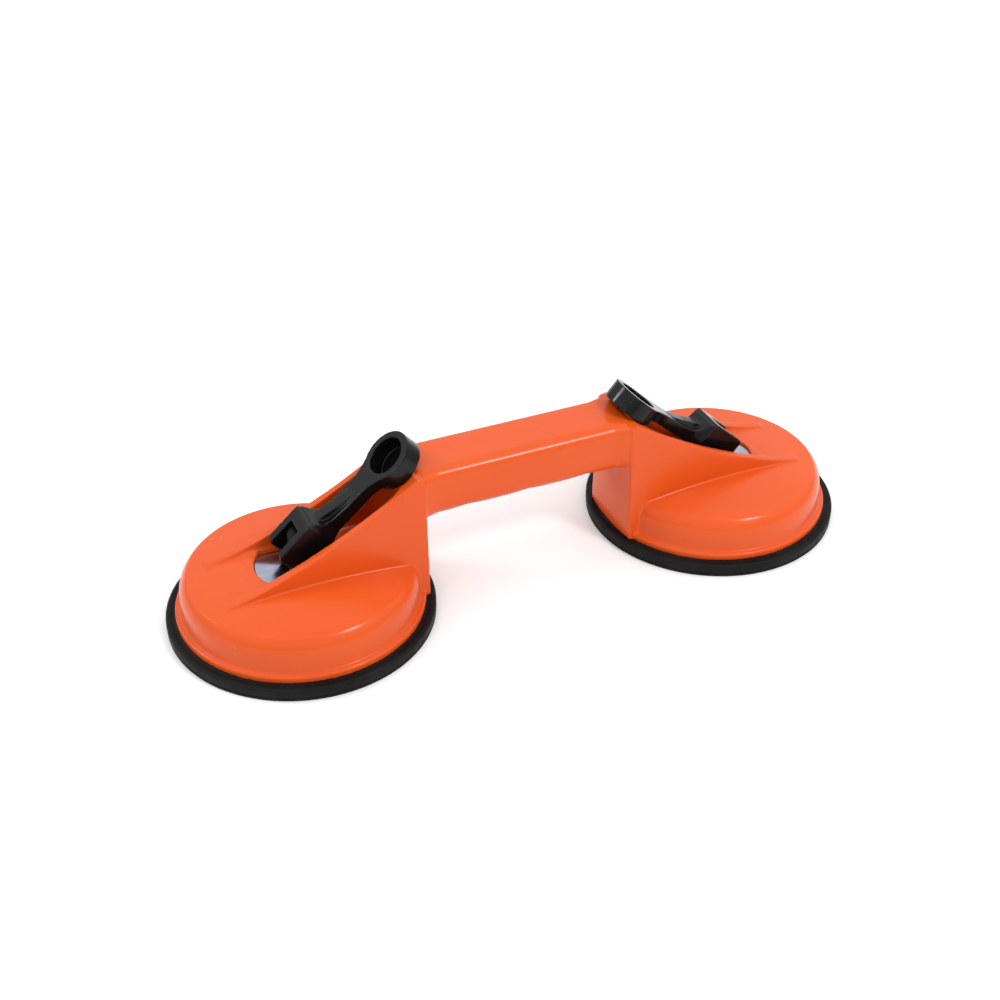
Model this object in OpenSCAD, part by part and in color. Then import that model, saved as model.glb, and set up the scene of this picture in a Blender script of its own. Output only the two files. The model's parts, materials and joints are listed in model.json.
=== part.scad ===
// Vacuum lifting cup with two pads: one moulded body carries a grip between two cups,
// and a cam lever on each cup draws its rubber pad up to make the vacuum.
// X runs along the grip, Z is up, and the origin is midway between the pads on the surface they hold.
// Each cup is drawn at the origin with +X pointing away from the grip, then placed by on_cup().

/* [Cups] */
// Distance between the axes of the two cups
cup_spacing = 205.5; // [204:0.5:208]
// Outer radius of a rubber pad
pad_r = 59; // [58:0.5:61]
// Height of the rubber pad's rim
pad_rim_h = 6; // [5.5:0.1:6.2]
// Outer radius of the moulded flange on the pad
flange_r = 54.7; // [54:0.1:55.5]
// Height of the middle of the cup's crown
crown_z = 28.15; // [28:0.05:28.5]
// Wall thickness of the moulding
wall = 3; // [2.4:0.1:3.4]

/* [Riser] */
// Half width of the lever channel
channel_half_w = 14; // [13:0.1:14.5]
// Height of the channel's floor
deck_z = 28; // [27.8:0.1:28.1]
// Half width of the riser at the cup's shoulder
riser_half_w = 18.6; // [18:0.1:19.5]
// Lean of the riser's sides
riser_draft = 2.7; // [1:0.1:3]

/* [Grip] */
// Width of the grip
grip_w = 29; // [27:0.5:30]
// Height of the grip's top
grip_top_z = 66; // [64:0.5:66.5]
// Height of the lowest part of the grip
grip_low_z = 42; // [41:0.5:44]
// Distance from one finger groove to the next
groove_pitch = 28.5; // [27:0.5:30]
// Depth of the finger grooves
groove_depth = 3; // [1.5:0.5:4]

/* [Lever] */
// Height of the lever's pivot
pin_z = 39.5; // [39.4:0.1:39.8]
// Lean of the locked lever above the horizontal
lever_lean = 42; // [41.5:0.1:42.5]
// Radius of the finger ring
ring_r = 12; // [11:0.1:12.2]
// Radius of the recess in the finger ring
ring_recess_r = 8.75; // [7.5:0.05:9]
// Distance from the pivot to the ring's centre, along the lever
ring_a = 52.3; // [51.5:0.1:52.5]
// Angle that the lever turns through
lever_swing = 105; // [90:1:105]
// Lift of the stud over the whole swing
stud_lift = 3.2; // [2.5:0.1:3.2]

/* [Mechanism] */
// Radius of the stud
stud_r = 4; // [3.8:0.05:4.05]
// Radius of the pivot pin
pin_r = 2; // [1.8:0.05:2.1]
// Radius of the steel backing plate
plate_r = 38; // [34:0.5:39]
// Radial clearance of a running fit
running = 0.05; // [0.02:0.01:0.08]

/* [Hidden] */
$fn = 96;
far = 120;
body_orange = [0.92, 0.38, 0.2];
lever_black = [0.06, 0.06, 0.07];
rubber_black = [0.14, 0.14, 0.15];
zinc_grey = [0.7, 0.74, 0.8];
steel_grey = [0.5, 0.5, 0.52];
bush_white = [0.85, 0.85, 0.82];

// Moulded cup
shoulder_r = 10;
shoulder_x = 41.9;
shoulder_z = 17;
crown_r = 330;
crown_edge = 48.4;
flange_lip = 1.1;
flange_top = 9.3;
cavity_r = 49.2;
deck_pad_r = 21;
deck_pad_z = 23;
boss_r = 10.5;
rib_w = 2;
rib_low_z = 21;

// Riser
riser_end_u = -54.7;
riser_end_r = 130;
riser_foot_z = 6.3;
riser_low_u = 40;
crest_lip_u = -50;
crest_lip_z = 65.9;
crest_lip_slope = 0.35;
crest_tail_u = 24;
crest_tail_z = 29.34;
crest_tail_slope = 0.233;
channel_end_u = -36.5;
channel_fillet = 2.4;
deck_end_u = 21;
front_z = [27.3, 25.5];
front_fillet = 0.3;
front_end_u = 41;
cam_plate_t = 1.2;
cam_plate_r = 18.8;
cam_plate_half_w = 12.6;
cam_plate_z = 25.5;
cam_pocket_gap = 0.15;

// Grip
grip_corner = 5;
grip_low_corner = 7;
grip_half_l = cup_spacing / 2 + riser_end_u + 2.7;
grip_flare_x = [42, 49];
grip_flare_w = 1.9;
grip_wall = 3.2;
grip_core_half_l = 45.5;
grip_rib_low_z = 48;

// Lever, in its own frame: A runs from the pivot to the ring and B is square to it, upwards
ring_t = 8.8;
ring_floor = 1.2;
ring_low_b = -13.5;
head_half_w = 8.7;
neck_half_w = 5.8;
neck_rib_half_w = 3;
ring_seat_gap = 0.4;
pin_blind_y = 7.7;
pin_end_y = 8.3;
slot_half_w = 4.6;
slot_end_a = 4.6;
head_top_b = 5.5;
head_front_a = -9.4;
head_back_a = 10.5;
lever_low_b = -9.6;
head_low_b = -11.5;
cam_gap = 0.3;
cam_h = pin_z - cam_plate_z - cam_plate_t - cam_gap;
cam_drop = stud_lift / (lever_swing * PI / 180);

// Pad and clamping stack
groove_r = [50.5, 54.5];
pad_groove_w = 1.2;
pad_groove_d = 0.8;
pad_mid_z = 6.9;
plate_t = 2;
hub_r = 8;
hub_top_z = 13;
stud_low_z = 8;
washer_t = 1.4;
nut_h = 4.6;
nut_af = 13;
bush_r = 6.5;
bush_flange_r = 9;
bush_flange_t = 1.2;
bush_low_z = 19.6;

// Points along an arc in a profile, from angle a0 to a1
function arc(x, z, r, a0, a1, n) =
    [for (i = [0:n]) let (a = a0 + (a1 - a0) * i / n) [x + r * cos(a), z + r * sin(a)]];

// Height of the riser's crest at a distance u from the cup's axis
function crest_z(u) = min(
    crest_lip_z + crest_lip_slope * (u - crest_lip_u),
    max(38.3 - 0.431 * u + 0.0024 * u * u, crest_tail_z - crest_tail_slope * (u - crest_tail_u)));

// Point of the cam that touches the plate when the lever has turned by t degrees
function cam_point(t) =
    let (h = cam_h - cam_drop * t * PI / 180, s = sin(t + lever_lean), c = cos(t + lever_lean))
    [-h * s + cam_drop * c, -h * c - cam_drop * s];

// Places a part drawn at one cup on the left (-1) or right (1) cup
module on_cup(side) {
    translate([side * cup_spacing / 2, 0, 0])
        mirror([side < 0 ? 1 : 0, 0, 0])
            children();
}

// Solid between two parallel planes, from an outline in X and Z
module side_slab(points, half_w) {
    rotate([90, 0, 0])
        linear_extrude(height = 2 * half_w, center = true)
            polygon(points);
}

// The lever's own frame
module lever_frame() {
    translate([0, 0, pin_z])
        rotate([0, lever_lean, 0])
            rotate([0, 0, 180])
                children();
}

module cup_outside() {
    rotate_extrude()
        polygon(concat(
            [[0, pad_rim_h], [flange_r, pad_rim_h]],
            arc(flange_r - flange_lip, flange_top - flange_lip, flange_lip, 0, 90, 4),
            [[shoulder_x + shoulder_r + 0.5, flange_top]],
            arc(shoulder_x, shoulder_z, shoulder_r, 0, 43, 5),
            arc(0, crown_z - crown_r, crown_r, 90 - asin(crown_edge / crown_r), 90, 6)));
}

module cup_inside() {
    core_r = shoulder_r - wall;
    core_crown = crown_r - wall;
    core_edge = crown_edge - wall;
    rotate_extrude()
        polygon(concat(
            [[0, pad_rim_h - 1], [cavity_r, pad_rim_h - 1]],
            arc(shoulder_x, shoulder_z, core_r, 0, 43, 4),
            arc(0, crown_z - crown_r, core_crown, 90 - asin(core_edge / core_crown), 90, 6)));
}

module riser() {
    w_low = riser_half_w + crown_edge / 2 * tan(riser_draft);
    w_high = riser_half_w - (far - crown_edge / 2) * tan(riser_draft);
    high_u = riser_end_u - 1;
    crest = [for (u = [high_u:3:riser_low_u]) [u, crest_z(u)]];
    intersection() {
        side_slab(concat(crest, [[riser_low_u, riser_foot_z], [high_u, riser_foot_z]]), far);
        translate([riser_end_u + riser_end_r, 0, 0])
            cylinder(r = riser_end_r, h = far, $fn = 4 * $fn);
        rotate([90, 0, 90])
            linear_extrude(height = far, center = true)
                polygon([[-w_low, 0], [w_low, 0], [w_high, far], [-w_high, far]]);
    }
}

// Outline in Y and Z of the space between the riser's walls, with rounded lower corners
module channel_outline(fillet) {
    polygon(concat(
        arc(channel_half_w - fillet, fillet, fillet, 0, -90, 4),
        arc(fillet - channel_half_w, fillet, fillet, 270, 180, 4),
        [[-channel_half_w, far], [channel_half_w, far]]));
}

module channel_slice(u, z, fillet) {
    translate([u, 0, z])
        rotate([90, 0, 90])
            linear_extrude(height = 0.01)
                channel_outline(fillet);
}

// Space between the walls in front of the deck, where they run out on the crown
module channel_front() {
    hull() {
        channel_slice(deck_end_u, front_z[0], channel_fillet);
        channel_slice(front_end_u, front_z[1], front_fillet);
    }
}

module lever_channel() {
    translate([channel_end_u, 0, deck_z])
        rotate_extrude()
            intersection() {
                channel_outline(channel_fillet);
                square(far);
            }
    translate([channel_end_u, 0, deck_z])
        rotate([90, 0, 90])
            linear_extrude(height = far)
                channel_outline(channel_fillet);
}

// Room for the ring of the folded lever
module ring_seat() {
    lever_frame()
        translate([ring_a, 0, ring_low_b - ring_seat_gap])
            cylinder(r = ring_r + ring_seat_gap, h = far);
}

module cam_plate_blank(r, half_w, h) {
    intersection() {
        cylinder(r = r, h = h);
        translate([-far / 2, -half_w, 0])
            cube([far, 2 * half_w, h]);
    }
}

// Deck, boss and ribs that stand inside a cup
module cup_core() {
    translate([0, 0, deck_pad_z])
        cylinder(r = deck_pad_r, h = cam_plate_z - deck_pad_z);
    translate([0, 0, bush_low_z + bush_flange_t])
        cylinder(r = boss_r, h = cam_plate_z - bush_low_z - bush_flange_t);
    intersection() {
        cup_inside();
        for (a = [30:60:330])
            rotate([0, 0, a])
                translate([boss_r - 1, -rib_w / 2, rib_low_z])
                    cube([cavity_r, rib_w, far]);
    }
}

// Section of the grip in Y and Z
module grip_section(half_w) {
    polygon(concat(
        arc(half_w - grip_corner, grip_top_z - grip_corner, grip_corner, 0, 90, 5),
        arc(grip_corner - half_w, grip_top_z - grip_corner, grip_corner, 90, 180, 5),
        arc(grip_low_corner - half_w, grip_low_z + grip_low_corner, grip_low_corner, 180, 270, 5),
        arc(half_w - grip_low_corner, grip_low_z + grip_low_corner, grip_low_corner, 270, 360, 5)));
}

module grip_slice(x, half_w) {
    translate([x, 0, 0])
        rotate([90, 0, 90])
            linear_extrude(height = 0.01)
                grip_section(half_w);
}

// The grip widens at its ends to meet the risers
module grip_flare() {
    for (side = [-1, 1])
        hull() {
            grip_slice(side * grip_flare_x[0], grip_w / 2);
            grip_slice(side * grip_flare_x[1], grip_w / 2 + grip_flare_w);
        }
}

module grip_outside() {
    intersection() {
        union() {
            rotate([90, 0, 90])
                linear_extrude(height = 2 * grip_half_l, center = true)
                    grip_section(grip_w / 2);
            grip_flare();
        }
        side_slab(concat(
            [[grip_half_l, far], [-grip_half_l, far]],
            [for (x = [-grip_half_l:grip_half_l / 18:grip_half_l + 0.01])
                [x, grip_low_z + groove_depth * (1 + cos(360 * x / groove_pitch)) / 2]]), far);
    }
}

// Hollow under the grip, crossed by ribs
module grip_core() {
    half_w = grip_w / 2 - grip_wall;
    difference() {
        translate([-grip_core_half_l, -half_w, 0])
            cube([2 * grip_core_half_l, 2 * half_w, grip_top_z - grip_wall]);
        for (x = [-1.5:0.5:1.5])
            translate([x * groove_pitch - rib_w / 2, -far / 2, grip_rib_low_z])
                cube([rib_w, far, far]);
    }
}

module cup_shell() {
    difference() {
        union() {
            cup_outside();
            difference() {
                riser();
                channel_front();
            }
        }
        cup_inside();
    }
}

module cup_moulding() {
    difference() {
        union() {
            cup_shell();
            cup_core();
        }
        lever_channel();
        ring_seat();
        translate([0, 0, cam_plate_z])
            cam_plate_blank(cam_plate_r + cam_pocket_gap, cam_plate_half_w + cam_pocket_gap, far);
        cylinder(r = bush_r, h = far);
    }
}

module body_moulding() {
    color(body_orange) {
        for (side = [-1, 1])
            on_cup(side)
                cup_moulding();
        difference() {
            grip_outside();
            grip_core();
        }
    }
}

module rubber_pad() {
    rim_step = 0.7;
    lift_r = 36;
    seat_r = 47;
    color(rubber_black)
        rotate_extrude()
            polygon(concat(
                [[0, stud_lift], [lift_r, stud_lift], [seat_r, 0]],
                [for (g = groove_r, p = [[-1, 0], [-0.4, 1], [0.4, 1], [1, 0]])
                    [g + p[0] * pad_groove_w, p[1] * pad_groove_d]],
                [[pad_r - rim_step, 0], [pad_r, rim_step]],
                arc(pad_r - rim_step, pad_rim_h - rim_step, rim_step, 0, 90, 3),
                [[seat_r, pad_rim_h], [plate_r + 2, pad_mid_z], [0, pad_mid_z]]));
}

module backing_plate() {
    color(zinc_grey)
        difference() {
            union() {
                translate([0, 0, pad_mid_z])
                    cylinder(r = plate_r, h = plate_t);
                translate([0, 0, pad_mid_z])
                    cylinder(r = hub_r, h = hub_top_z - pad_mid_z);
            }
            translate([0, 0, stud_low_z])
                cylinder(r = stud_r, h = far);
        }
}

module stud() {
    color(lever_black)
        difference() {
            union() {
                translate([0, 0, stud_low_z])
                    cylinder(r = stud_r, h = pin_z - stud_low_z);
                intersection() {
                    translate([0, 0, stud_low_z])
                        cylinder(r = stud_r, h = far);
                    translate([0, 0, pin_z])
                        rotate([90, 0, 0])
                            cylinder(r = stud_r, h = 3 * stud_r, center = true);
                }
            }
            translate([0, 0, pin_z])
                rotate([90, 0, 0])
                    cylinder(r = pin_r + running, h = 3 * stud_r, center = true);
        }
}

module spring_washer() {
    color(steel_grey)
        translate([0, 0, hub_top_z])
            difference() {
                cylinder(r = nut_af / 2 + 0.6, h = washer_t);
                translate([0, 0, -1])
                    cylinder(r = stud_r + 0.2, h = washer_t + 2);
                translate([0, -0.6, -1])
                    cube([far, 1.2, washer_t + 2]);
            }
}

module lock_nut() {
    color(steel_grey)
        translate([0, 0, hub_top_z + washer_t])
            difference() {
                cylinder(r = nut_af / 2 / cos(30), h = nut_h, $fn = 6);
                translate([0, 0, -1])
                    cylinder(r = stud_r, h = nut_h + 2);
            }
}

module guide_bush() {
    color(bush_white)
        translate([0, 0, bush_low_z])
            difference() {
                union() {
                    cylinder(r = bush_r, h = cam_plate_z - bush_low_z);
                    cylinder(r = bush_flange_r, h = bush_flange_t);
                }
                translate([0, 0, -1])
                    cylinder(r = stud_r + running, h = far);
            }
}

module cam_plate() {
    color(zinc_grey)
        translate([0, 0, cam_plate_z])
            difference() {
                cam_plate_blank(cam_plate_r, cam_plate_half_w, cam_plate_t);
                translate([0, 0, -1])
                    cylinder(r = stud_r + 0.6, h = far);
            }
}

// Outline that stays clear of the plate all through the swing
module cam_limit() {
    polygon(concat(
        [for (t = [0:5:lever_swing + 5]) cam_point(t)],
        [[-far / 4, far / 4], [far, far], [far, -far]],
        [cam_point(0) + far / 4 * [cos(lever_lean), -sin(lever_lean)]]));
}

module lever_head() {
    rotate([90, 0, 0])
        linear_extrude(height = 2 * head_half_w, center = true)
            intersection() {
                polygon([
                    [head_back_a, head_top_b - 0.6], [head_back_a - 1.2, head_top_b],
                    [head_front_a + 1.4, head_top_b], [head_front_a, head_top_b - 1.4],
                    [head_front_a, head_low_b], [-6, head_low_b],
                    [2, lever_low_b], [head_back_a, lever_low_b]]);
                cam_limit();
            }
}

// Half outline of the neck seen from above: it widens into the head and into the ring
neck_plan = [
    [head_back_a - 3, head_half_w], [head_back_a, head_half_w], [head_back_a + 1.8, 7.3],
    [head_back_a + 4.5, neck_half_w], [35, neck_half_w], [37.5, 6.2], [40, 7], [42.5, 8.1],
    [44.5, 9.1], [47, 9.8]];

module lever_neck() {
    low = lever_low_b;
    intersection() {
        side_slab([
            [head_back_a - 3, 4.5], [head_back_a + 1, 4], [14, -1.6], [17, -3.1], [25, -4.1],
            [47, -4.7], [47, low - 0.4], [head_back_a - 3, low]], head_half_w + ring_r);
        translate([0, 0, -far / 2])
            linear_extrude(height = far)
                polygon(concat(
                    neck_plan,
                    [for (i = [len(neck_plan) - 1:-1:0]) [neck_plan[i][0], -neck_plan[i][1]]]));
    }
    side_slab([
        [head_back_a - 1, 1.4], [12.5, 0.9], [16.7, -0.4], [23.1, -2.3], [29.3, -3.7], [33, -4.7],
        [33, low + 1], [head_back_a - 1, low + 1]], neck_rib_half_w);
}

module lever() {
    color(lever_black)
        lever_frame()
            difference() {
                union() {
                    lever_head();
                    lever_neck();
                    translate([ring_a, 0, ring_low_b])
                        cylinder(r = ring_r, h = ring_t);
                }
                translate([ring_a, 0, ring_low_b + ring_floor])
                    cylinder(r = ring_recess_r, h = far);
                translate([slot_end_a - far, -slot_half_w, -far / 2])
                    cube([far, 2 * slot_half_w, far]);
                translate([0, pin_blind_y, 0])
                    rotate([90, 0, 0])
                        cylinder(r = pin_r, h = far);
            }
}

module pivot_pin() {
    color(steel_grey)
        translate([0, -pin_blind_y, pin_z])
            rotate([-90, 0, 0])
                cylinder(r = pin_r, h = pin_blind_y + pin_end_y);
}

body_moulding();
on_cup(-1) rubber_pad();  // rubber_pad_left
on_cup(1) rubber_pad();  // rubber_pad_right
on_cup(-1) backing_plate();  // backing_plate_left
on_cup(1) backing_plate();  // backing_plate_right
on_cup(-1) stud();  // stud_left
on_cup(1) stud();  // stud_right
on_cup(-1) spring_washer();  // spring_washer_left
on_cup(1) spring_washer();  // spring_washer_right
on_cup(-1) lock_nut();  // lock_nut_left
on_cup(1) lock_nut();  // lock_nut_right
on_cup(-1) guide_bush();  // guide_bush_left
on_cup(1) guide_bush();  // guide_bush_right
on_cup(-1) cam_plate();  // cam_plate_left
on_cup(1) cam_plate();  // cam_plate_right
on_cup(-1) lever();  // lever_left
on_cup(1) lever();  // lever_right
on_cup(-1) pivot_pin();  // pivot_pin_left
on_cup(1) pivot_pin();  // pivot_pin_right
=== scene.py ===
"""Looks of the double-cup suction lifter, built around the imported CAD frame. Metres, Z up."""

import json
import math

import bpy
import numpy as np
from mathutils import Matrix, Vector

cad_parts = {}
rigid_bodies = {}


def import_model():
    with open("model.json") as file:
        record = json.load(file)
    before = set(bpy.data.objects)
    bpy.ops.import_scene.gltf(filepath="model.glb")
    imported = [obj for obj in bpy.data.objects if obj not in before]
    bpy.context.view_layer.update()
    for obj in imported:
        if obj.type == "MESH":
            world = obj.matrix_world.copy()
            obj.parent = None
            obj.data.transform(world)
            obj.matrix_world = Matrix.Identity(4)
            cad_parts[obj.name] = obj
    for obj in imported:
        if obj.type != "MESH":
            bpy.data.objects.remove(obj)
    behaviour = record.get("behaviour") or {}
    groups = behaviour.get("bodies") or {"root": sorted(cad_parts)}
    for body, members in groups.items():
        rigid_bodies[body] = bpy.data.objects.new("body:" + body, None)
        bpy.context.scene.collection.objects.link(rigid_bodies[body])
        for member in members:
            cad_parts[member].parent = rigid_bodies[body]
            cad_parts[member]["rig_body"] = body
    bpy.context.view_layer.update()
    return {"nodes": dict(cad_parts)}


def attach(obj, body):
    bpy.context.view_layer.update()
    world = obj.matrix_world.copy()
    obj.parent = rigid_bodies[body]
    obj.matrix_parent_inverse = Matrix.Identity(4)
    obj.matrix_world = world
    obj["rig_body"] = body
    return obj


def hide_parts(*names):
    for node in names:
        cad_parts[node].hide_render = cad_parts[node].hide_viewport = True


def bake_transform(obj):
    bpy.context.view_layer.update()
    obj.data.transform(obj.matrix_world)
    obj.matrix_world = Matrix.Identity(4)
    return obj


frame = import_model()
nodes = frame["nodes"]
scene = bpy.context.scene

MM = 0.001
CUP_X = {"left": -102.75 * MM, "right": 102.75 * MM}

# ---------------------------------------------------------------- camera and light

CAM_AZIMUTH = -24.07
CAM_ELEVATION = 34.81
CAM_DISTANCE = 0.7489
CAM_TARGET = Vector((0.01177, 0.04304, 0.0))
CAM_LENS = 55.33
CAM_SENSOR = 36.0
FLOOR_HALF = 6.0
SKY_STRENGTH = 1.0
SKY_BANDS = ((0.0, 0.5), (0.25, 0.75), (0.5, 1.2), (1.0, 1.0))
WINDOW_DIRECTION = (0.1, 0.0, -1.0)
WINDOW_STRENGTH = 0.3
WINDOW_SPREAD = 60
SOFTBOXES = {
    "front": {"location": (0.43, -0.74, 0.97), "size": 0.2, "power": 5.0},
    "left": {"location": (-0.8, 0.45, 0.7), "size": 0.2, "power": 1.8},
}


def aim(obj, direction):
    obj.rotation_mode = "QUATERNION"
    obj.rotation_quaternion = direction.to_track_quat("-Z", "Y")


def make_camera():
    """The photograph's viewpoint: it looks at a point on the floor from the near left, above."""
    az, el = math.radians(CAM_AZIMUTH), math.radians(CAM_ELEVATION)
    back = Vector((math.sin(az) * math.cos(el), -math.cos(az) * math.cos(el), math.sin(el)))
    data = bpy.data.cameras.new("camera")
    data.lens = CAM_LENS
    data.sensor_width = CAM_SENSOR
    data.clip_start, data.clip_end = 0.01, 20
    camera = bpy.data.objects.new("camera", data)
    scene.collection.objects.link(camera)
    camera.location = CAM_TARGET + back * CAM_DISTANCE
    aim(camera, -back)
    scene.camera = camera


def make_area(name, location, size, power):
    """A square softbox that faces the middle of the tool."""
    data = bpy.data.lights.new(name, "AREA")
    data.size = size
    data.energy = power
    lamp = bpy.data.objects.new(name, data)
    scene.collection.objects.link(lamp)
    lamp.location = location
    aim(lamp, Vector((0, 0, 0.03)) - Vector(location))


def make_sun(name, direction, strength, spread_deg):
    """Even light from one side of the room; the wider its spread, the softer its shadows."""
    data = bpy.data.lights.new(name, "SUN")
    data.energy = strength
    data.angle = math.radians(spread_deg)
    lamp = bpy.data.objects.new(name, data)
    scene.collection.objects.link(lamp)
    aim(lamp, Vector(direction))


def make_sky():
    """A white room whose brightness goes by the height of the direction looked in."""
    world = bpy.data.worlds.new("studio")
    scene.world = world
    world.use_nodes = True
    tree = world.node_tree
    background = tree.nodes["Background"]
    background.inputs["Strength"].default_value = SKY_STRENGTH
    coords = tree.nodes.new("ShaderNodeTexCoord")
    split = tree.nodes.new("ShaderNodeSeparateXYZ")
    ramp = tree.nodes.new("ShaderNodeValToRGB")
    for height, level in SKY_BANDS[1:-1]:
        ramp.color_ramp.elements.new(height)
    for element, (height, level) in zip(ramp.color_ramp.elements, SKY_BANDS):
        element.position = height
        element.color = (level, level, level, 1)
    tree.links.new(coords.outputs["Generated"], split.inputs["Vector"])
    tree.links.new(split.outputs["Z"], ramp.inputs["Fac"])
    tree.links.new(ramp.outputs["Color"], background.inputs["Color"])


# ---------------------------------------------------------------- materials


class Paint:
    """A Principled material and the few node helpers that the finishes below share."""

    def __init__(self, name, metallic=0.0, specular=0.5, coat=0.0):
        self.material = bpy.data.materials.new(name)
        self.material.use_nodes = True
        self.tree = self.material.node_tree
        self.bsdf = self.tree.nodes["Principled BSDF"]
        self.bsdf.inputs["Metallic"].default_value = metallic
        self.bsdf.inputs["Specular IOR Level"].default_value = specular
        self.bsdf.inputs["Coat Weight"].default_value = coat
        self.coords = self.tree.nodes.new("ShaderNodeTexCoord")
        self.geometry = self.tree.nodes.new("ShaderNodeNewGeometry")

    def link(self, source, target):
        self.tree.links.new(source, target)

    def noise(self, scale, detail=3.0, stretch=(1, 1, 1), clipped=True):
        """Noise that runs from 0 to 1 and is cut off there, or about -1 to 1 when not clipped."""
        mapping = self.tree.nodes.new("ShaderNodeMapping")
        mapping.inputs["Scale"].default_value = stretch
        texture = self.tree.nodes.new("ShaderNodeTexNoise")
        texture.inputs["Scale"].default_value = scale
        texture.inputs["Detail"].default_value = detail
        texture.normalize = clipped
        self.link(self.coords.outputs["Object"], mapping.inputs["Vector"])
        self.link(mapping.outputs["Vector"], texture.inputs["Vector"])
        return texture.outputs["Fac"]

    def span(self, value, low, high, to_low, to_high):
        """value mapped from low..high to to_low..to_high, and held at the ends."""
        node = self.tree.nodes.new("ShaderNodeMapRange")
        for socket, number in zip(("From Min", "From Max", "To Min", "To Max"),
                                  (low, high, to_low, to_high)):
            node.inputs[socket].default_value = number
        self.link(value, node.inputs["Value"])
        return node.outputs["Result"]

    def times(self, a, b):
        node = self.tree.nodes.new("ShaderNodeMath")
        node.operation = "MULTIPLY"
        self.link(a, node.inputs[0])
        self.link(b, node.inputs[1])
        return node.outputs[0]

    def mix(self, factor, a, b):
        """Colour a where factor is 0 and b where it is 1; a and b are colours or sockets."""
        node = self.tree.nodes.new("ShaderNodeMix")
        node.data_type = "RGBA"
        self.link(factor, node.inputs["Factor"])
        for socket, colour in ((node.inputs[6], a), (node.inputs[7], b)):
            if isinstance(colour, tuple):
                socket.default_value = (*colour, 1)
            else:
                self.link(colour, socket)
        return node.outputs[2]

    def edges(self, low, high):
        """0 on flat and hollow places, 1 on convex edges."""
        return self.span(self.geometry.outputs["Pointiness"], low, high, 0, 1)

    def colour(self, socket):
        self.link(socket, self.bsdf.inputs["Base Color"])

    def roughness(self, socket):
        self.link(socket, self.bsdf.inputs["Roughness"])

    def bump(self, *layers):
        """layers are (height, depth in metres) pairs, laid one on another."""
        normal = None
        for height, depth in layers:
            node = self.tree.nodes.new("ShaderNodeBump")
            node.inputs["Strength"].default_value = 1
            node.inputs["Distance"].default_value = depth
            self.link(height, node.inputs["Height"])
            if normal:
                self.link(normal, node.inputs["Normal"])
            normal = node.outputs["Normal"]
        self.link(normal, self.bsdf.inputs["Normal"])


def orange_plastic():
    """Semi-gloss moulded ABS: faint flow marks, a fine mould texture, and convex edges painted paler,
    partly as rub wear and partly as a painted highlight.
    """
    p = Paint("orange_abs", specular=0.28)
    cloud = p.span(p.noise(22, 4), 0.3, 0.7, 0, 1)
    flow = p.span(p.noise(60, 3, (0.25, 1.4, 1)), 0.35, 0.65, 0, 1)
    body = p.mix(cloud, (0.64, 0.075, 0.007), (0.67, 0.083, 0.009))
    body = p.mix(p.span(flow, 0, 1, 0, 0.25), body, (0.68, 0.092, 0.013))
    # convex edges turned pale pink-orange: partly rub wear, partly a painted highlight along the edges
    rubbed = p.times(p.edges(0.56, 0.68), p.span(p.noise(180, 4), 0.35, 0.6, 0.1, 0.5))
    p.colour(p.mix(rubbed, body, (0.8, 0.2, 0.075)))
    p.roughness(p.span(p.noise(75, 5), 0.1, 0.9, 0.18, 0.3))
    p.bump((p.noise(1200, 1), 0.000004), (p.noise(90, 1, clipped=False), 0.000005))
    return p.material


def black_plastic():
    """Semi-gloss black moulding with a fine texture, and convex edges painted lighter grey, partly as
    finger wear and partly as a painted sheen.
    """
    p = Paint("black_moulding", specular=0.24)
    cloud = p.span(p.noise(70, 4), 0.3, 0.7, 0, 1)
    body = p.mix(cloud, (0.002, 0.002, 0.0022), (0.004, 0.004, 0.0045))
    dust = p.span(p.noise(900, 3), 0.62, 0.75, 0, 0.35)
    body = p.mix(dust, body, (0.02, 0.02, 0.021))
    # convex edges turned grey: partly finger wear, partly a painted sheen on the polished edges
    worn = p.times(p.edges(0.56, 0.68), p.span(p.noise(400, 4), 0.3, 0.6, 0.25, 0.8))
    p.colour(p.mix(worn, body, (0.09, 0.09, 0.095)))
    p.roughness(p.span(p.noise(160, 5), 0.3, 0.7, 0.12, 0.24))
    p.bump((p.noise(1600, 1), 0.000003), (p.noise(150, 1, clipped=False), 0.000003))
    return p.material


def black_rubber():
    """Matte moulded rubber, with a fine grain, faint bloom and greyer rubbed edges."""
    p = Paint("black_rubber", specular=0.12)
    bloom = p.span(p.noise(45, 5), 0.4, 0.72, 0, 1)
    body = p.mix(bloom, (0.005, 0.005, 0.0055), (0.011, 0.0108, 0.0108))
    specks = p.span(p.noise(1500, 3), 0.64, 0.76, 0, 0.5)
    body = p.mix(specks, body, (0.032, 0.031, 0.03))
    worn = p.times(p.edges(0.52, 0.6), p.span(p.noise(300, 4), 0.35, 0.65, 0.1, 0.6))
    p.colour(p.mix(worn, body, (0.05, 0.05, 0.05)))
    p.roughness(p.span(p.noise(220, 4), 0.3, 0.7, 0.5, 0.68))
    p.bump((p.noise(2400, 3), 0.00003), (p.noise(500, 2), 0.00002))
    return p.material


def zinc_plate():
    """Bright blue-white zinc plating, with a faint rolled grain and hazy patches."""
    p = Paint("blue_zinc", metallic=1.0)
    haze = p.span(p.noise(140, 5), 0.35, 0.7, 0, 1)
    grain = p.noise(900, 3, (0.08, 1, 1))
    tint = p.mix(haze, (0.32, 0.355, 0.46), (0.4, 0.425, 0.5))
    p.colour(p.mix(p.span(grain, 0.35, 0.65, 0, 0.25), tint, (0.27, 0.3, 0.36)))
    p.roughness(p.span(p.noise(260, 5), 0.3, 0.7, 0.1, 0.24))
    p.bump((grain, 0.000004))
    return p.material


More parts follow.
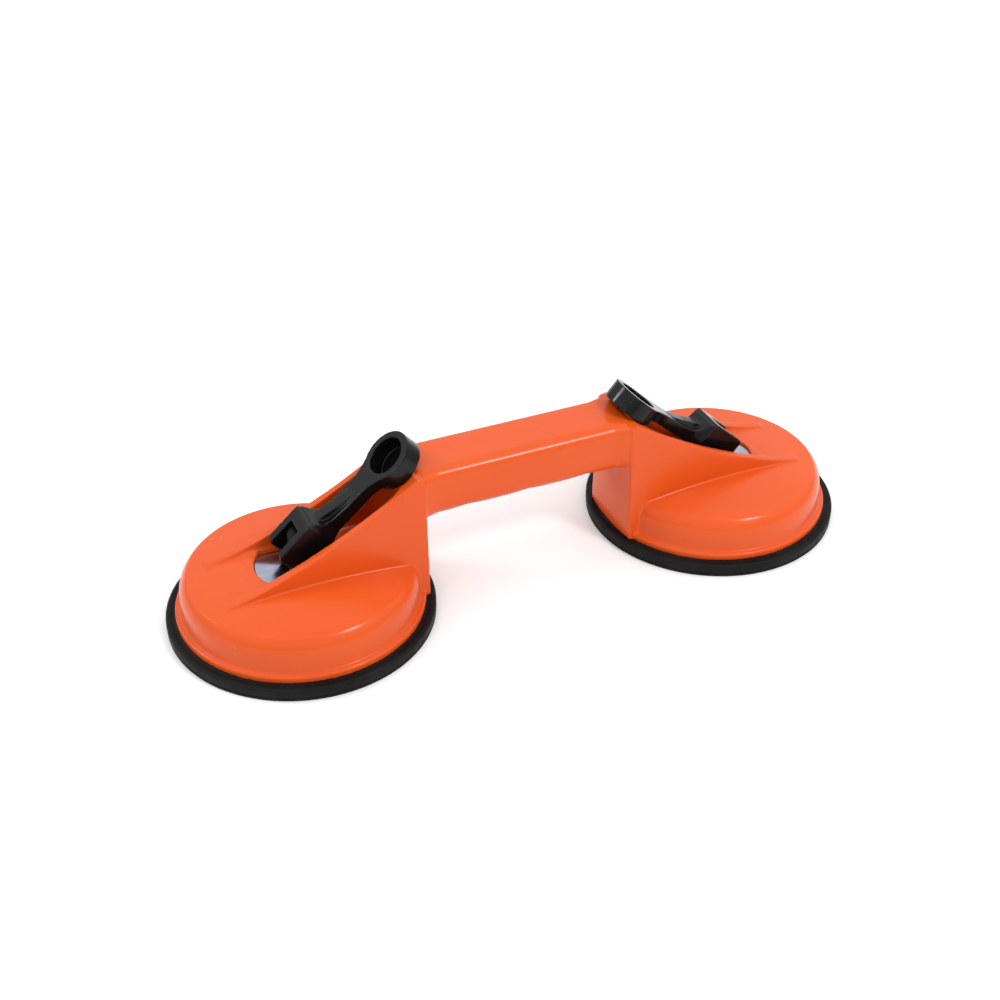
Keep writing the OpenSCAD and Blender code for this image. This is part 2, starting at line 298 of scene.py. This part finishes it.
def zinc_steel():
    """Plated steel under the housing: satin, with duller spangles and darker specks."""
    p = Paint("zinc_steel", metallic=1.0)
    spangle = p.span(p.noise(320, 4), 0.3, 0.7, 0, 1)
    tint = p.mix(spangle, (0.5, 0.53, 0.58), (0.66, 0.68, 0.71))
    p.colour(p.mix(p.span(p.noise(1200, 3), 0.6, 0.75, 0, 0.5), tint, (0.36, 0.35, 0.34)))
    p.roughness(p.span(p.noise(500, 4), 0.3, 0.7, 0.26, 0.46))
    p.bump((p.noise(1600, 2), 0.00001))
    return p.material


def black_steel():
    """Black-oxide steel, with brown-grey patches and turning marks."""
    p = Paint("black_oxide", metallic=0.6, specular=0.1)
    patch = p.span(p.noise(260, 5), 0.35, 0.7, 0, 1)
    tint = p.mix(patch, (0.008, 0.008, 0.009), (0.02, 0.019, 0.018))
    p.colour(p.mix(p.span(p.noise(1800, 2), 0.62, 0.74, 0, 0.6), tint, (0.06, 0.057, 0.055)))
    p.roughness(p.span(p.noise(600, 4), 0.3, 0.7, 0.32, 0.5))
    p.bump((p.noise(700, 2, (0.1, 0.1, 6)), 0.000008))
    return p.material


def pin_steel():
    """Ground dowel steel, with fine rings and light stains."""
    p = Paint("ground_steel", metallic=1.0)
    stain = p.span(p.noise(500, 5), 0.4, 0.7, 0, 1)
    p.colour(p.mix(stain, (0.5, 0.5, 0.51), (0.3, 0.29, 0.28)))
    p.roughness(p.span(p.noise(900, 4), 0.3, 0.7, 0.2, 0.38))
    p.bump((p.noise(900, 2, (0.1, 5, 0.1)), 0.000006))
    return p.material


def white_nylon():
    """Natural nylon: a waxy off-white with patches of grey grease."""
    p = Paint("natural_nylon", specular=0.4)
    cloud = p.span(p.noise(180, 4), 0.3, 0.7, 0, 1)
    tint = p.mix(cloud, (0.62, 0.6, 0.53), (0.72, 0.7, 0.64))
    p.colour(p.mix(p.span(p.noise(700, 4), 0.55, 0.75, 0, 0.5), tint, (0.33, 0.31, 0.27)))
    p.roughness(p.span(p.noise(400, 4), 0.3, 0.7, 0.38, 0.55))
    p.bump((p.noise(1500, 3), 0.00001))
    return p.material


def floor_paper():
    """White studio paper."""
    p = Paint("studio_paper", specular=0.2)
    p.colour(p.mix(p.noise(3, 2), (0.93, 0.93, 0.93), (0.95, 0.95, 0.95)))
    p.roughness(p.span(p.noise(40, 3), 0.3, 0.7, 0.7, 0.85))
    return p.material


# ---------------------------------------------------------------- floor and studio


def make_floor():
    mesh = bpy.data.meshes.new("floor")
    corners = [(x, y, 0) for x, y in ((-1, -1), (1, -1), (1, 1), (-1, 1))]
    mesh.from_pydata([(x * FLOOR_HALF, y * FLOOR_HALF, z) for x, y, z in corners], [], [(0, 1, 2, 3)])
    floor = bpy.data.objects.new("floor", mesh)
    scene.collection.objects.link(floor)
    mesh.materials.append(floor_paper())


def make_studio():
    make_camera()
    make_sky()
    make_sun("window", WINDOW_DIRECTION, WINDOW_STRENGTH, WINDOW_SPREAD)
    for name, softbox in SOFTBOXES.items():
        make_area(name, **softbox)
    make_floor()
    scene.view_settings.view_transform = "Standard"


# ---------------------------------------------------------------- pieces


def evaluated_mesh(obj, name):
    """The object's mesh with its modifiers applied."""
    bpy.context.view_layer.update()
    depsgraph = bpy.context.evaluated_depsgraph_get()
    mesh = bpy.data.meshes.new_from_object(obj.evaluated_get(depsgraph))
    mesh.name = name
    return mesh


def settle_normals(mesh, rounds=10, spread=0.12):
    """Evens out faint ripples in the shading of near-flat faces and keeps the edges crisp."""
    count = len(mesh.vertices)
    normals = np.empty(count * 3, np.float32)
    mesh.vertices.foreach_get("normal", normals)
    normals = normals.reshape(-1, 3)
    ends = np.empty(len(mesh.edges) * 2, np.int32)
    mesh.edges.foreach_get("vertices", ends)
    a, b = ends.reshape(-1, 2).T
    for _ in range(rounds):
        weight = np.exp(-((normals[a] - normals[b]) ** 2).sum(1) / spread ** 2)
        total = normals.copy()
        for axis in range(3):
            total[:, axis] += np.bincount(a, weight * normals[b, axis], count)
            total[:, axis] += np.bincount(b, weight * normals[a, axis], count)
        normals = total / np.linalg.norm(total, axis=1, keepdims=True)
    mesh.normals_split_custom_set_from_vertices(normals.tolist())


BODY_VOXEL = 0.5 * MM
BODY_SMOOTHING = 4
LEVER_VOXEL = 0.32 * MM
LEVER_SMOOTHING = 3


def moulded(name, node, voxel, rounds, material):
    """A copy of a CAD moulding whose edges and inner corners are softened as a mould makes them."""
    obj = bpy.data.objects.new(name, nodes[node].data.copy())
    scene.collection.objects.link(obj)
    remesh = obj.modifiers.new("remesh", "REMESH")
    remesh.mode = "VOXEL"
    remesh.voxel_size = voxel
    remesh.use_smooth_shade = True
    smooth = obj.modifiers.new("smooth", "SMOOTH")
    smooth.factor = 0.5
    smooth.iterations = rounds
    mesh = evaluated_mesh(obj, name)
    settle_normals(mesh)
    obj.modifiers.clear()
    obj.data = mesh
    obj.data.materials.clear()
    obj.data.materials.append(material)
    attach(obj, nodes[node]["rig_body"])
    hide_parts(node)
    return obj


def arc(r, z, radius, start, end, steps):
    """Points of an arc in a lathe profile, angles in degrees."""
    angles = [math.radians(start + (end - start) * i / steps) for i in range(steps + 1)]
    return [(r + radius * math.cos(a), z + radius * math.sin(a)) for a in angles]


def lathe(name, profile, centre_x, segments):
    """A closed profile of (radius, height) in mm, turned about the cup's axis."""
    verts, faces = [], []
    rings = []
    for r, z in profile:
        if r < 1e-6:
            rings.append([len(verts)])
            verts.append((centre_x, 0, z * MM))
            continue
        rings.append(list(range(len(verts), len(verts) + segments)))
        for i in range(segments):
            a = 2 * math.pi * i / segments
            verts.append((centre_x + r * MM * math.cos(a), r * MM * math.sin(a), z * MM))
    for lower, upper in zip(rings, rings[1:]):
        for i in range(segments):
            j = (i + 1) % segments
            quad = [lower[i % len(lower)], lower[j % len(lower)],
                    upper[j % len(upper)], upper[i % len(upper)]]
            faces.append(list(dict.fromkeys(quad)))
    mesh = bpy.data.meshes.new(name)
    mesh.from_pydata(verts, [], faces)
    mesh.polygons.foreach_set("use_smooth", [True] * len(faces))
    mesh.update()
    obj = bpy.data.objects.new(name, mesh)
    scene.collection.objects.link(obj)
    return obj


PAD_R = 59.0
PAD_RIM_H = 6.0
PAD_SEAT_R = 47.0
PAD_PLATE_R = 40.0
PAD_MID_Z = 6.9
PAD_DISH_R = 36.0
PAD_DISH_Z = 3.2
PAD_GROOVE_R = (50.5, 54.5)
PAD_SEGMENTS = 160


def pad_profile():
    """Outline of the rubber pad, from the middle of its dished face round to its top."""
    points = [(0, PAD_DISH_Z), (12, PAD_DISH_Z), (24, PAD_DISH_Z), (PAD_DISH_R - 2, PAD_DISH_Z - 0.02),
              (PAD_DISH_R, PAD_DISH_Z - 0.15), (PAD_DISH_R + 2, PAD_DISH_Z - 0.6),
              (PAD_SEAT_R - 3, 0.75), (PAD_SEAT_R - 1.2, 0.25), (PAD_SEAT_R, 0)]
    for r in PAD_GROOVE_R:
        points += [(r - 1.2, 0), (r - 1.0, 0.06), (r - 0.6, 0.7), (r - 0.4, 0.8),
                   (r + 0.4, 0.8), (r + 0.6, 0.7), (r + 1.0, 0.06), (r + 1.2, 0)]
    points += [(PAD_R - 1.0, 0)] + arc(PAD_R - 0.6, 0.5, 0.5, -90, 0, 4)
    points += [(PAD_R - 0.1, 1.1), (PAD_R - 0.4, 1.35), (PAD_R - 0.4, 1.6), (PAD_R - 0.1, 1.85)]
    points += [(PAD_R, 2.2), (PAD_R, 4.6)] + arc(PAD_R - 1.1, PAD_RIM_H - 1.1, 1.1, 0, 90, 6)
    points += [(PAD_R - 2.6, PAD_RIM_H), (PAD_R - 2.8, PAD_RIM_H - 0.12), (PAD_R - 3.3, PAD_RIM_H - 0.12),
               (PAD_R - 3.5, PAD_RIM_H), (PAD_SEAT_R, PAD_RIM_H), (PAD_PLATE_R + 1.5, PAD_MID_Z - 0.25),
               (PAD_PLATE_R, PAD_MID_Z), (20, PAD_MID_Z), (0, PAD_MID_Z)]
    return points


def rubber_pad(side, material):
    """The rubber pad, turned as one piece about the cup's axis in place of the CAD pad."""
    obj = lathe(f"rubber_cup_{side}", pad_profile(), CUP_X[side], PAD_SEGMENTS)
    obj.data.materials.append(material)
    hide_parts(f"rubber_pad_{side}")
    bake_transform(obj)


WELD_GAP = 0.001 * MM
SHARP_EDGE = math.radians(40)


def finish_node(name, material, bevel):
    """Gives a CAD node its finish, and breaks its edges by a small bevel."""
    obj = nodes[name]
    obj.data.materials.clear()
    obj.data.materials.append(material)
    weld = obj.modifiers.new("weld", "WELD")
    weld.merge_threshold = WELD_GAP
    edge = obj.modifiers.new("broken_edges", "BEVEL")
    edge.width = bevel
    edge.segments = 2
    edge.limit_method = "ANGLE"
    edge.angle_limit = SHARP_EDGE


def make_tool():
    moulded("housing_shell", "body_moulding", BODY_VOXEL, BODY_SMOOTHING, orange_plastic())
    black, rubber, zinc = black_plastic(), black_rubber(), zinc_plate()
    steel, oxide, dowel, nylon = zinc_steel(), black_steel(), pin_steel(), white_nylon()
    finishes = {
        "cam_plate": (zinc, 0.2 * MM),
        "backing_plate": (steel, 0.3 * MM),
        "spring_washer": (steel, 0.15 * MM),
        "lock_nut": (steel, 0.3 * MM),
        "stud": (oxide, 0.2 * MM),
        "pivot_pin": (dowel, 0.25 * MM),
        "guide_bush": (nylon, 0.2 * MM),
    }
    for side in ("left", "right"):
        moulded(f"cam_lever_{side}", f"lever_{side}", LEVER_VOXEL, LEVER_SMOOTHING, black)
        rubber_pad(side, rubber)
        for part, (finish, bevel) in finishes.items():
            finish_node(f"{part}_{side}", finish, bevel)


make_studio()
make_tool()
